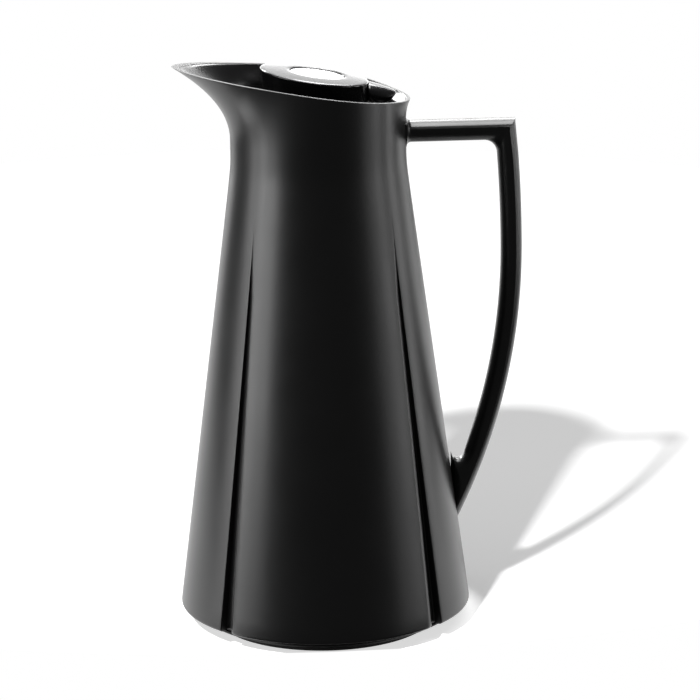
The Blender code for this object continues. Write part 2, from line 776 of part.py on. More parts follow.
def make_button_carrier(material):
    """The piston under the button: a sleeve, and a boss that takes the stem."""
    top = CAP_DOME - 0.2 * MM - 1.6 * MM
    rings = [
        tilted_ring(0.3 * MM, top),
        tilted_ring(11.6 * MM, top),
        tilted_ring(11.6 * MM, top - 0.7 * MM),
        tilted_ring(BUTTON_RADIUS - 0.2 * MM, top - 0.7 * MM),
        flat_ring(BUTTON_RADIUS - 0.2 * MM, 257 * MM),
        flat_ring(11.2 * MM, 257 * MM),
        tilted_ring(11.2 * MM, top - 3 * MM),
        tilted_ring(8.2 * MM, top - 3 * MM),
        flat_ring(8.2 * MM, 256.5 * MM),
        flat_ring(4.0 * MM, 256.5 * MM),
        flat_ring(4.0 * MM, 252 * MM),
        flat_ring(STEM_RADIUS + GAP, 252 * MM),
        flat_ring(STEM_RADIUS + GAP, 262.3 * MM),
        flat_ring(0.3 * MM, 262.3 * MM),
    ]
    return lofted("button_carrier", rings, material)


def make_valve(steel_look, plastic_look, seal_look):
    """Stem, valve plate, its seal and the nut that holds them."""
    turned("valve_stem", [
        (0, 262.0 * MM),
        (STEM_RADIUS, 261.5 * MM),
        (STEM_RADIUS, 219.5 * MM),
        (0, 219.0 * MM),
    ], steel_look, SMALL_SIDES)
    hole = STEM_RADIUS + GAP
    turned("valve_plate", [
        (14.6 * MM, 225.2 * MM),
        (15.2 * MM, 224.6 * MM),
        (14.6 * MM, 222.8 * MM),
        (hole, 222.8 * MM),
        (hole, 225.2 * MM),
    ], plastic_look)
    turned("valve_seal", [
        (14.4 * MM, 227.7 * MM),
        (14.9 * MM, 226.9 * MM),
        (14.4 * MM, 225.5 * MM),
        (hole + 0.6 * MM, 225.5 * MM),
        (hole + 0.6 * MM, 227.7 * MM),
    ], seal_look)
    turned("valve_nut", [
        (4.0 * MM, 222.5 * MM),
        (4.0 * MM, 220.3 * MM),
        (hole, 220.3 * MM),
        (hole, 222.5 * MM),
    ], steel_look, 6)


def make_return_spring(material):
    """A compression spring around the stem, from the stopper's floor to the carrier."""
    low = STOPPER_FLOOR_Z + 2.5 * MM + GAP + SPRING_WIRE
    high = 256.5 * MM - GAP - SPRING_WIRE
    steps = 12 * SPRING_TURNS
    curve = bpy.data.curves.new("return_spring", "CURVE")
    curve.dimensions = "3D"
    curve.bevel_depth = SPRING_WIRE
    curve.bevel_resolution = 1
    curve.use_fill_caps = True
    spline = curve.splines.new("POLY")
    spline.points.add(steps)
    for index in range(steps + 1):
        share = index / steps
        point = polar(SPRING_RADIUS, 2 * pi * SPRING_TURNS * share, low + (high - low) * share)
        spline.points[index].co = (*point, 1.0)
    curve.materials.append(material)
    spring = bpy.data.objects.new("return_spring", curve)
    bpy.context.scene.collection.objects.link(spring)
    return spring


def main():
    clear_scene()
    satin = look("satin_black_shell", (0.012, 0.012, 0.012), 0.42)
    satin_handle = look("satin_black_handle", (0.012, 0.012, 0.012), 0.4)
    gloss = look("gloss_black_collar", (0.008, 0.008, 0.008), 0.08)
    gloss_lid = look("gloss_black_lid", (0.008, 0.008, 0.008), 0.08)
    matt = look("matt_black_base", (0.015, 0.015, 0.015), 0.6)
    white = look("natural_plastic", (0.75, 0.74, 0.7), 0.45)
    rubber = look("clear_silicone", (0.55, 0.54, 0.5), 0.6)
    pad = look("black_rubber_pad", (0.02, 0.02, 0.02), 0.85)
    steel = look("brushed_steel", (0.75, 0.75, 0.75), 0.25, metallic=1.0)
    glass = look("silvered_glass", (0.8, 0.82, 0.84), 0.05, metallic=0.9)
    ceramic = look("spacer_felt", (0.6, 0.58, 0.52), 0.9)

    make_outer_shell(satin)
    make_handle(satin_handle)
    make_screw("handle_screw_upper", 35.6 * MM, 53.5 * MM, UPPER_SCREW_Z, steel)
    make_screw("handle_screw_lower", 56.6 * MM, 70.5 * MM, LOWER_SCREW_Z, steel)
    make_pouring_collar(gloss)
    make_neck_gasket(rubber)
    make_flask_outer(glass)
    make_flask_inner(glass)
    make_spacers(ceramic)
    make_base(rubber, matt, pad)
    make_stopper_body(white)
    make_stopper_cap(gloss_lid)
    make_stopper_seal(rubber)
    make_push_button(steel)
    make_button_carrier(white)
    make_valve(steel, white, rubber)
    make_return_spring(steel)


main()
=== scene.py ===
"""Looks for the vacuum coffee jug: fine meshes, finishes, floor, lights and camera.

The frame's origin is on the body's axis at the table. +Z is up, -X is the spout's side.
"""

from math import atan2, copysign, cos, hypot, pi, radians, sin, sqrt, tan

import bmesh
import bpy
from mathutils import Matrix, Vector
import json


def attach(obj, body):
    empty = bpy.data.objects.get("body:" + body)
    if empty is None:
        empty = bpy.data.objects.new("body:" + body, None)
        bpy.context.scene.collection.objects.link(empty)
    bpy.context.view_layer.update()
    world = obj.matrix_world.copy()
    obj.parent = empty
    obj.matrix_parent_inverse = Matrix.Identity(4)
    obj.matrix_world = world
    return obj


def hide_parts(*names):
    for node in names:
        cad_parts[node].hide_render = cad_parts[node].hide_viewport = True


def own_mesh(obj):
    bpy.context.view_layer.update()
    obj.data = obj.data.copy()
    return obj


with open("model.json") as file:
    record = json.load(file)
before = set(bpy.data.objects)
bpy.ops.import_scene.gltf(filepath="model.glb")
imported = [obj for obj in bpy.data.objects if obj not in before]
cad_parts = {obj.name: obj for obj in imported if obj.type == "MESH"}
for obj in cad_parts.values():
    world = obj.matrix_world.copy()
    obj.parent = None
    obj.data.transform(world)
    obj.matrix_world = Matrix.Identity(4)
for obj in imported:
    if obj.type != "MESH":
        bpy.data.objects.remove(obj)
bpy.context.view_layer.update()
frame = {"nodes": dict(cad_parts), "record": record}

MM = 0.001

# Body cone and neck
BASE_RADIUS = 72.0 * MM
BASE_EDGE_Z = 9.0 * MM
BASE_EDGE_ROUND = 1.6 * MM
CONE_SLOPE = 0.1323  # radius lost for each length of height
NECK_RADIUS = 42.6 * MM
NECK_BLEND = 0.6 * MM  # how softly the cone turns into the neck
NECK_Z = 240.0 * MM
BODY_WALL = 5.4 * MM
RIM_WALL = 2.0 * MM
MOST_STRETCH = 1.35  # limit on how much a slope thickens the wall, seen level
BASE_BORE = 65.5 * MM
BASE_BORE_TOP_Z = 24.0 * MM
BASE_LEDGE = 1.5 * MM  # flat part of the lower edge, outside the bore
INNER_HEIGHTS = (240 * MM, 231 * MM, 120 * MM, 30 * MM)
UNGROOVED_Z = 212.0 * MM  # above this the rings have no grooves

# Rim and spout
RIM_MIDDLE_Z = 269.45 * MM
RIM_SLOPE = 0.157
RIM_ARCH = 1.4 * MM
RIM_ROUND = 0.35 * MM
SPOUT_FOOT_Z = 243.0 * MM
SPOUT_TIP_Z = 280.5 * MM
SPOUT_GROWTH = 27.9 * MM  # how far the tip stands out from the neck
SPOUT_POWER = 2.15  # how it grows with height
SPOUT_SPAN = radians(90)  # how far round it reaches from its middle
SPOUT_ROUND = 1.6  # these two shape how it fades on the way round
SPOUT_FALL = 3.6
SPOUT_NOSE = 0.019  # rounds the very tip
LIP_FOOT_Z = 250.0 * MM
LIP_TOP_Z = 262.4 * MM
LIP_GROWTH = 2.4 * MM  # the small lip on the handle's side
LIP_SPAN = radians(35)

# Tapering grooves between the front, spout, back and handle panels. The front and back
# panels bend into a groove, and the panels beside them end in a tight edge.
GROOVE_ANGLE = radians(43.65)  # from the spout's and the handle's axis
GROOVE_TOP_Z = 207.0 * MM
GROOVE_SPREAD = 0.012  # half width for each length below the top
GROOVE_FLARE = 0.017  # more half width for each squared length below the top
GROOVE_LEAST = 0.05 * MM  # half width at and above the top
GROOVE_DEPTH_SHARE = 1.05  # depth for each half width
BEND_RADIUS_TOP = 4.5 * MM
BEND_RADIUS_LOW = 7.5 * MM
BEND_ANGLE = radians(32)
BEND_START = 35.0 * MM
EDGE_ROUND_SHARE = 0.22  # radius of a groove's tight edge for each half width

# Handle
HANDLE_HALF_WIDTH = 6.3 * MM
HANDLE_THICKNESS = 10.5 * MM
HANDLE_CROWN = 3.1 * MM
HANDLE_SIDE = 1.2 * MM
HANDLE_EDGE = 0.5 * MM
EDGE_STEPS = ((0.35, 0.12), (0.08, 0.5))  # shares of the edge: still inward, and downward
HANDLE_REACH = 99.1 * MM
HANDLE_WIDEST_Z = 187.0 * MM
HANDLE_UPPER_RADIUS = 670.0 * MM
HANDLE_LOWER_RADIUS = 307.0 * MM
ARM_TOP_Z = 251.2 * MM
ARM_BOTTOM_Z = 240.5 * MM
CORNER_RADIUS = 6.5 * MM
CROTCH_Z = 80.0 * MM
CROTCH_RADIUS = 3.4 * MM
CROTCH_GAP = 0.8 * MM
LIMB_END_Z = 92.0 * MM
FOOT_TOP_Z = 88.0 * MM
MITRE_LENGTH = 2.0 * MM  # how far the corner's rings reach along each face
ROOT_FILLET = 2.5 * MM

# Collar
BORE_RADIUS = 28.4 * MM
COLLAR_WALL = 1.6 * MM
COLLAR_SKIRT_RADIUS = BORE_RADIUS + 2.4 * MM
COLLAR_FOOT_Z = 214.0 * MM
COLLAR_FOOT_BORE = 27.7 * MM
SEAT_BORE = 22.9 * MM
SEAT_LOW_Z = 224.6 * MM
SEAT_TOP_Z = 227.7 * MM
SHELF_Z = 254.0 * MM
FUNNEL_FOOT_Z = 255.6 * MM

# Lid, tab, button and spring
CAP_SEAT_Z = 262.0 * MM
CAP_SKIRT_RADIUS = 24.6 * MM
CAP_RADIUS = 26.1 * MM
CAP_CENTRE_X = -1.4 * MM
CAP_CENTRE_Z = 274.3 * MM
CAP_TILT = tan(radians(8.5))
CAP_DOME = 1.5 * MM
CAP_COLLAR_RADIUS = 15.3 * MM  # outside of the wall round the button's hole
# Along the tab: distance from the axis, half width, top and bottom in mm, and roundness
TAB_STATIONS = (
    (23.4, 8.2, 270.7, 262.4, 0.9),
    (25.2, 8.1, 270.5, 261.0, 0.9),
    (28.0, 7.9, 269.7, 259.7, 0.9),
    (31.5, 7.3, 268.6, 259.8, 1.1),
    (34.1, 6.6, 267.6, 260.4, 1.6),
    (36.6, 5.0, 266.6, 262.8, 1.8),
    (38.1, 2.4, 265.8, 264.8, 1.8),
)
TAB_SQUARENESS = 0.6
BUTTON_HOLE_RADIUS = 13.3 * MM
BUTTON_HOLE_DEPTH = 6.0 * MM
BUTTON_RADIUS = 13.0 * MM
BUTTON_FACE_RADIUS = 12.4 * MM
BUTTON_EDGE = 0.6 * MM
BUTTON_DISH = 0.3 * MM
BUTTON_SINK = 0.45 * MM  # how far the face lies below the lid's crown
PINHOLE = 0.2 * MM  # radius at which a turned piece closes on its axis
SPRING_RADIUS = 6.3 * MM
SPRING_WIRE = 0.55 * MM
SPRING_TURNS = 7
SPRING_FOOT_Z = 231.35 * MM  # middle of the wire at the lower end
SPRING_TOP_Z = 255.65 * MM

FINE = 160  # sides of the round pieces

# Floor, camera and lamps, in metres and degrees
FLOOR_RADIUS = 0.6
FLOOR_BACK = 0.544  # how far the floor disc's centre lies behind the jug
FLOOR_GLOW = 0.12
PAINTED_GLOW_UNDER_JUG = 0.55  # painted light: more glow on the floor under the jug, where no lamp reaches, so no shadow shows there
PAINTED_GLOW_FADE = 14.0 * MM  # the painted glow fades over this width, from the base's edge outwards
AMBIENT = 0.085
CAMERA_PLACE = (-0.0977, -1.7357, 0.6002)
CAMERA_AIM = (0.01403, 0.0, 0.13680)
CAMERA_LENS = 188.1  # mm on a sensor 36 mm wide
CAMERA_ROLL = radians(-0.80)
LAMP_AIM = (0.0, 0.0, 0.14)

# Each lamp: name, azimuth, elevation, distance, width, height, watts. These two light the floor.
SHADOW_KEY = ("shadow key", 23.5, 38, 6.0, 0.30, 0.30, 640.0)
FLOOR_SKY = ("floor sky", 0, 90, 2.5, 4.0, 4.0, 62.0)

# These light the jug alone.
PANELS = (
    ("left front", 62, 12, 1.5, 0.22, 1.0, 5.7),
    ("left middle", 70, 13, 1.5, 0.22, 0.9, 1.7),
    ("left low", 80, -28, 1.5, 0.22, 0.45, 1.5),
    ("left low back", 95, -28, 1.5, 0.22, 0.45, 2.0),
    ("left", 78, 8, 1.5, 0.22, 1.1, 7.2),
    ("left back", 94, 8, 1.5, 0.22, 1.1, 4.5),
    ("right front", -64, 4, 1.5, 0.22, 1.1, 1.1),
    ("right", -78, 8, 1.5, 0.22, 1.1, 3.4),
    ("right back", -102, 8, 1.5, 0.22, 1.1, 3.7),
    ("right far", -124, 8, 1.5, 0.22, 1.1, 1.1),
    ("right far low", -134, -14, 1.5, 0.35, 0.6, 1.0),
    ("top", 0, 89, 1.5, 0.8, 0.8, 25.0),
    ("top back", 180, 70, 1.5, 0.9, 0.5, 9.5),
    ("top far back", 180, 48, 1.5, 0.9, 0.5, 6.5),
    ("spout back high", -165, 40, 1.5, 0.4, 0.4, 7.0),
    ("handle back", 153, 25, 1.5, 1.0, 0.45, 28.0),
    ("behind left low", 150, -14, 1.5, 0.5, 0.5, 0.8),
    ("behind low", 180, 3, 1.9, 3.2, 0.6, 19.0),
    ("behind high", 180, 24, 1.9, 2.6, 0.8, 9.5),
)


# Mesh helpers ---------------------------------------------------------------------------


def mesh_object(name, bm, smooth_angle):
    """An object from a bmesh, smooth but for edges sharper than an angle."""
    bmesh.ops.recalc_face_normals(bm, faces=bm.faces)
    mesh = bpy.data.meshes.new(name)
    bm.to_mesh(mesh)
    bm.free()
    mesh.shade_smooth()
    mesh.set_sharp_from_angle(angle=smooth_angle)
    obj = bpy.data.objects.new(name, mesh)
    bpy.context.scene.collection.objects.link(obj)
    return obj


def lofted(name, rings, closed=False, smooth_angle=radians(40)):
    """A surface through rings of equally many points, capped at its ends unless closed."""
    bm = bmesh.new()
    loops = [[bm.verts.new(point) for point in ring] for ring in rings]
    count = len(loops[0])
    pairs = list(zip(loops, loops[1:]))
    if closed:
        pairs.append((loops[-1], loops[0]))
    else:
        bm.faces.new(loops[0])
        bm.faces.new(loops[-1])
    for low, high in pairs:
        for i in range(count):
            j = (i + 1) % count
            bm.faces.new((low[i], low[j], high[j], high[i]))
    return mesh_object(name, bm, smooth_angle)


def rounded(outline, radius, steps=3):
    """A closed outline with each corner turned into a short curve."""
    result = []
    count = len(outline)
    for index in range(count):
        before = Vector(outline[index - 1])
        corner = Vector(outline[index])
        after = Vector(outline[(index + 1) % count])
        reach = min(radius, 0.45 * (before - corner).length, 0.45 * (after - corner).length)
        start = corner + reach * (before - corner).normalized()
        end = corner + reach * (after - corner).normalized()
        for step in range(steps + 1):
            t = step / steps
            bend = (1 - t) ** 2 * start + 2 * t * (1 - t) * corner + t * t * end
            result.append((bend.x, bend.y))
    return result


def around(sides):
    """Evenly spaced angles of a full turn."""
    return [2 * pi * i / sides for i in range(sides)]


def polar(radius, angle, height):
    return Vector((radius * cos(angle), radius * sin(angle), height))


def flat_ring(radius, height):
    return [polar(radius, angle, height) for angle in around(FINE)]


def turned(name, outline, soften):
    """A turned ring from a closed (radius, height) outline with softened corners."""
    rings = [flat_ring(radius, height) for radius, height in rounded(outline, soften)]
    return lofted(name, rings, closed=True)


# The body's outer surface, as a radius at each angle and height ----------------------------


def cone_radius(z):
    """The cone, which turns softly into the upright neck."""
    over = BASE_RADIUS - CONE_SLOPE * (z - BASE_EDGE_Z) - NECK_RADIUS
    return NECK_RADIUS + (over + hypot(over, NECK_BLEND)) / 2


def angle_off(angle, middle):
    """How far an angle is from a middle one, either way round."""
    return abs(atan2(sin(angle - middle), cos(angle - middle)))


def body_radius(angle, z):
    """Cone and neck with the spout on one side and the small lip on the other."""
    rise = max((z - SPOUT_FOOT_Z) / (SPOUT_TIP_Z - SPOUT_FOOT_Z), 0.0)
    share = min(angle_off(angle, pi) / SPOUT_SPAN, 1.0)
    share = hypot(share, SPOUT_NOSE) / hypot(1, SPOUT_NOSE)
    spout = SPOUT_GROWTH * rise**SPOUT_POWER * (1 - share**SPOUT_ROUND) ** SPOUT_FALL
    rise = max((z - LIP_FOOT_Z) / (LIP_TOP_Z - LIP_FOOT_Z), 0.0)
    share = min(angle_off(angle, 0) / LIP_SPAN, 1.0)
    lip = LIP_GROWTH * rise**3 * cos(pi / 2 * share) ** 2
    return cone_radius(z) + spout + lip


def rim_z(angle):
    """The rim's height: a sloping plane, arched a little halfway round."""
    z = RIM_MIDDLE_Z
    for _ in range(40):
        z = RIM_MIDDLE_Z - RIM_SLOPE * body_radius(angle, z) * cos(angle)
        z += RIM_ARCH * sin(angle) ** 2
    return z


def slopes(angle, z):
    """How the body's radius changes upwards and sideways, both as plain ratios."""
    step = 0.5 * MM
    turn = radians(1)
    here = body_radius(angle, z)
    lean = (here - body_radius(angle, z - step)) / step
    swing = (body_radius(angle + turn, z) - body_radius(angle - turn, z)) / (2 * turn * here)
    return lean, swing


def offset_radius(angle, z, wall):
    """The radius of a surface that lies a wall's thickness inside the body's outer one."""
    lean, swing = slopes(angle, z)
    stretch = min(sqrt(1 + lean * lean + swing * swing), MOST_STRETCH)
    return body_radius(angle, z) - wall * stretch


def shell_wall(z):
    """The shell is thick on the cone and thins towards the rim."""
    share = min(max((z - NECK_Z) / (LIP_TOP_Z - NECK_Z), 0.0), 1.0)
    return BODY_WALL + (RIM_WALL - BODY_WALL) * share


# Shell -------------------------------------------------------------------------------------


def groove_profile(z):
    """A groove's section at a height: (offset from its middle, depth), bent panel first."""
    below = max(GROOVE_TOP_Z - z, 0.0)
    half = GROOVE_SPREAD * below + GROOVE_FLARE * below * below
    half = max(half, GROOVE_LEAST)
    bend = BEND_RADIUS_TOP + (BEND_RADIUS_LOW - BEND_RADIUS_TOP) * min(below / GROOVE_TOP_Z, 1)
    turned_by = BEND_ANGLE * min(below / BEND_START, 1)
    edge = EDGE_ROUND_SHARE * half
    knee = half + edge * (1 - sin(turned_by))
    sunk = bend * (1 - cos(turned_by))
    points = []
    for step in range(7):
        turn = turned_by * step / 6
        points.append((knee + bend * (sin(turned_by) - sin(turn)), bend * (1 - cos(turn))))
    for step in range(1, 5):
        turn = turned_by + (pi / 2 - turned_by) * step / 4
        drop = edge * (cos(turned_by) - cos(turn))
        points.append((half + edge * (1 - sin(turn)), sunk + drop))
    deep = sunk + GROOVE_DEPTH_SHARE * half if below else 0.0
    points += [(0.97 * half, deep - 0.12 * half), (0.85 * half, deep)]
    points += [(-0.85 * half, deep), (-0.97 * half, deep - 0.12 * half)]
    for step in range(6):
        turn = pi / 2 * (1 - step / 5)
        points.append((-half - edge * (1 - sin(turn)), edge * (1 - cos(turn))))
    if not below:
        points = [(offset, 0.0) for offset, _ in points]
    return points


def shell_columns(z):
    """(angle, groove depth) round the shell at a height, dense where a groove's walls are."""
    profile = groove_profile(z)
    radius = cone_radius(z)
    grooves = []
    for middle, side in ((0, 1), (pi, -1), (pi, 1), (2 * pi, -1)):
        middle += side * GROOVE_ANGLE
        across = [(middle + side * offset / radius, depth) for offset, depth in profile]
        grooves.append(across[::-side])
    columns = []
    for number, across in enumerate(grooves):
        columns += across
        start = across[-1][0]
        end = grooves[(number + 1) % 4][0][0]
        if end < start:
            end += 2 * pi
        columns += [(start + (end - start) * i / 60, 0.0) for i in range(1, 60)]
    return columns


def shell_ring(radius, z, least=0.0):
    """A ring round the shell, sunk where a groove is, but never below the least radius."""
    return [polar(max(radius - depth, least), angle, z) for angle, depth in shell_columns(z)]


def inner_shell_ring(radius, z):
    """A round ring whose points stand inside those of the shell's outer rings."""
    return [polar(radius, angle, z) for angle, _ in shell_columns(z)]


def make_shell():
    """The satin cone with its grooves, spout and flat-edged rim, as one closed wall."""
    edge = BASE_EDGE_ROUND
    rings = [inner_shell_ring(BASE_BORE + ledge, BASE_EDGE_Z) for ledge in (0.0, BASE_LEDGE)]
    for step in range(6):
        turn = pi / 2 * step / 5
        z = BASE_EDGE_Z + edge * (1 - cos(turn))
        radius = cone_radius(z) - edge * (1 - sin(turn))
        rings.append(shell_ring(radius, z, BASE_BORE + BASE_LEDGE + 0.1 * MM))
    low = BASE_EDGE_Z + edge
    heights = [low + (GROOVE_TOP_Z - low) * step / 28 for step in range(1, 29)]
    heights += [UNGROOVED_Z + 2 * MM * step for step in range(15)]
    rings += [shell_ring(cone_radius(z), z) for z in heights]
    columns = [angle for angle, _ in shell_columns(NECK_Z)]
    caps = [rim_cap(angle) for angle in columns]
    for step in range(1, 31):
        ring = []
        for angle, cap in zip(columns, caps):
            z = NECK_Z + (cap[0][1] - NECK_Z) * step / 31
            ring.append(polar(body_radius(angle, z), angle, z))
        rings.append(ring)
    for place in range(len(caps[0])):
        rings.append([polar(cap[place][0], a, cap[place][1]) for a, cap in zip(columns, caps)])
    for step in range(1, 22):
        ring = []
        for angle, cap in zip(columns, caps):
            top = cap[-1][1]
            z = top + (SHELF_Z - 6 * MM - top) * step / 21
            ring.append(polar(offset_radius(angle, z, shell_wall(z)), angle, z))
        rings.append(ring)
    rings += [inner_shell_ring(cone_radius(z) - BODY_WALL, z) for z in INNER_HEIGHTS]
    rings.append(inner_shell_ring(BASE_BORE, BASE_BORE_TOP_Z))
    return lofted("shell", rings, closed=True)


def rim_cap(angle):
    """The rim's flat edge at an angle, as (radius, height) from outside to inside."""
    z = rim_z(angle)
    outer = Vector((body_radius(angle, z), z))
    inner = outer.copy()
    for _ in range(4):
        inner.x = offset_radius(angle, inner.y, RIM_WALL)
        inner.y = z + RIM_SLOPE * (outer.x - inner.x) * cos(angle)
    low = z - RIM_ROUND
    start = Vector((body_radius(angle, low), low))
    low = inner.y - RIM_ROUND
    end = Vector((offset_radius(angle, low, shell_wall(low)), low))
    across = (inner - outer).normalized() * RIM_ROUND
    points = []
    for first, corner, last in ((start, outer, outer + across), (inner - across, inner, end)):
        for step in range(5):
            t = step / 4
            point = (1 - t) ** 2 * first + 2 * t * (1 - t) * corner + t * t * last
            points.append((point.x, point.y))
    return points


def make_collar():
    """The glossy funnel inside the rim, with the bore that holds the stopper."""
    sides = around(FINE)
    tops = [rim_cap(angle)[-1][1] - 0.1 * MM for angle in sides]

    def funnel_ring(share, thickness, foot, lower=0.0):
        """A ring inside the shell's wall, at a share of the way from a foot up to the rim."""
        ring = []
        for angle, top in zip(sides, tops):
            z = foot + share * (top - lower - foot)
            ring.append(polar(offset_radius(angle, z, shell_wall(z) + thickness), angle, z))
        return ring

    rings = [funnel_ring(step / 20, 0.15 * MM, SHELF_Z) for step in range(20, -1, -1)]
    lower = [
        (COLLAR_SKIRT_RADIUS + 2 * MM, 251 * MM),
        (COLLAR_SKIRT_RADIUS, 248 * MM),
        (COLLAR_SKIRT_RADIUS, COLLAR_FOOT_Z),
        (COLLAR_FOOT_BORE, COLLAR_FOOT_Z),
        (COLLAR_FOOT_BORE, SEAT_LOW_Z),
        (SEAT_BORE, SEAT_LOW_Z),
        (SEAT_BORE, SEAT_TOP_Z),
        (BORE_RADIUS, SEAT_TOP_Z),
        (BORE_RADIUS, 250.6 * MM),
        (BORE_RADIUS + 0.4 * MM, 251.6 * MM),
        (BORE_RADIUS + 1.6 * MM, 252.3 * MM),
        (31.5 * MM, 253.1 * MM),
        (35.0 * MM, 253.6 * MM),
        (37.0 * MM, 254.4 * MM),
    ]
    rings += [flat_ring(radius, z) for radius, z in lower]
    for step in range(25):
        share = step / 24
        thickness = 0.3 * MM + COLLAR_WALL * min(1, 2.2 * (1 - share)) ** 0.8
        rings.append(funnel_ring(share, thickness, FUNNEL_FOOT_Z, 0.05 * MM))
    return lofted("collar", rings, closed=True)


# Handle ------------------------------------------------------------------------------------


def ridge_bend(z):
    """The radius of the ridge's arc at a height."""
    return HANDLE_UPPER_RADIUS if z > HANDLE_WIDEST_Z else HANDLE_LOWER_RADIUS


def ridge_x(z):
    """The handle's outermost line: two arcs that share an upright tangent."""
    off = z - HANDLE_WIDEST_Z
    bend = ridge_bend(z)
    return HANDLE_REACH - bend + sqrt(bend * bend - off * off)


def ridge_inward(z):
    """The direction from the ridge into the handle, square to the ridge."""
    lean = (z - HANDLE_WIDEST_Z) / ridge_bend(z)
    return Vector((-sqrt(1 - lean * lean), 0, -lean))


def crown_share(y, half_width):
    """1 on the crowned face's middle line, 0 on its edges."""
    crown = HANDLE_CROWN
    bend = (half_width**2 + crown**2) / (2 * crown)
    return (sqrt(bend * bend - y * y) - (bend - crown)) / crown


def handle_section(ridge, edge, side, inner, half_width=HANDLE_HALF_WIDTH):
    """One ring of the handle: crowned outside, crisp edges, flat sides, half-round inside."""
    ring = []
    inset = HANDLE_EDGE / half_width
    for step in range(-12, 13):
        y = step / 12 * (1 - inset) * half_width
        point = edge.lerp(ridge, crown_share(y, half_width))
        ring.append(Vector((point.x, y, point.z)))
    flat = max((side - edge).length, 1e-6)
    corner = []
    for inward, down in EDGE_STEPS:
        point = edge.lerp(side, down * HANDLE_EDGE / flat)
        corner.append(Vector((point.x, half_width * (1 - inward * inset), point.z)))
    ring += corner
    for step in range(17):
        turn = pi * step / 16
        point = side.lerp(inner, sin(turn))
        ring.append(Vector((point.x, half_width * cos(turn), point.z)))
    ring += [Vector((point.x, -point.y, point.z)) for point in reversed(corner)]
    return ring


def make_handle():
    """The arm, the mitred corner and the bowed limb, set a little way into the shell."""
    down = Vector((0, 0, -1))
    corner = Vector((ridge_x(ARM_TOP_Z), 0, ARM_TOP_Z))
    half_round = HANDLE_THICKNESS - HANDLE_CROWN - HANDLE_SIDE
    rings = []
    flares = [(NECK_RADIUS - 1.5 * MM, ROOT_FILLET)]
    for step in range(9):
        turn = pi / 2 * step / 8
        flares.append((NECK_RADIUS + ROOT_FILLET * (1 - cos(turn)), ROOT_FILLET * (1 - sin(turn))))
    flares += [(x * MM, 0.0) for x in (52, 62, 72, 80)]
    for x, spread in flares:
        top = Vector((x, 0, ARM_TOP_Z + spread))
        edge = top + down * HANDLE_CROWN
        rings.append(handle_section(top, edge, edge + down * (HANDLE_SIDE + spread),
                                    Vector((x, 0, ARM_BOTTOM_Z - spread)),
                                    HANDLE_HALF_WIDTH + spread))
    inside_x = ridge_x(ARM_BOTTOM_Z - CORNER_RADIUS) - HANDLE_THICKNESS
    centre = Vector((inside_x - CORNER_RADIUS, 0, ARM_BOTTOM_Z - CORNER_RADIUS))
    mitre = Vector((-1, 0, -1))
    steps = 12
    for step in range(steps + 1):
        turn = pi / 2 * (1 - step / steps)
        inner = centre + CORNER_RADIUS * Vector((cos(turn), 0, sin(turn)))
        off = 2 * step / steps - 1
        slide = MITRE_LENGTH * off * abs(off)
        along = Vector((slide, 0, 0)) if slide < 0 else Vector((0, 0, -slide))
        ridge = corner + along
        rings.append(handle_section(ridge, ridge + mitre * HANDLE_CROWN,
                                    ridge + mitre * (HANDLE_CROWN + HANDLE_SIDE), inner))
    top_z = centre.z - 1.5 * MM
    for step in range(41):
        z = top_z + (LIMB_END_Z - top_z) * step / 40
        ridge = Vector((ridge_x(z), 0, z))
        into = ridge_inward(z)
        rings.append(handle_section(ridge, ridge + into * HANDLE_CROWN,
                                    ridge + into * (HANDLE_THICKNESS - half_round),
                                    ridge + into * HANDLE_THICKNESS))
    crotch_x = cone_radius(CROTCH_Z) + CROTCH_RADIUS + CROTCH_GAP
    crotch = Vector((crotch_x, 0, CROTCH_Z + CROTCH_RADIUS))
    for step in range(23):
        z = FOOT_TOP_Z - 1.8 * MM * step
        turn = -pi * min(step / 14, 1)
        inner = crotch + CROTCH_RADIUS * Vector((cos(turn), 0, sin(turn)))
        if step > 14:
            inner = Vector((cone_radius(z) - 2 * MM, 0, z))
        ridge = Vector((ridge_x(z), 0, z))
        into = ridge_inward(z)
        edge = ridge + into * HANDLE_CROWN
        rings.append(handle_section(ridge, edge, edge + into * HANDLE_SIDE, inner))
    return lofted("handle_moulding", rings, smooth_angle=radians(28))


# Lid and button ------------------------------------------------------------------------------


def tilted_ring(radius, lift, centre_x=0.0):
    """A ring that is round from above and lies on the cap's sloping plane, plus a lift."""
    ring = []
    for angle in around(FINE):
        x = centre_x + radius * cos(angle)
        z = CAP_CENTRE_Z + lift - CAP_TILT * (x - CAP_CENTRE_X)
        ring.append(Vector((x, radius * sin(angle), z)))
    return ring


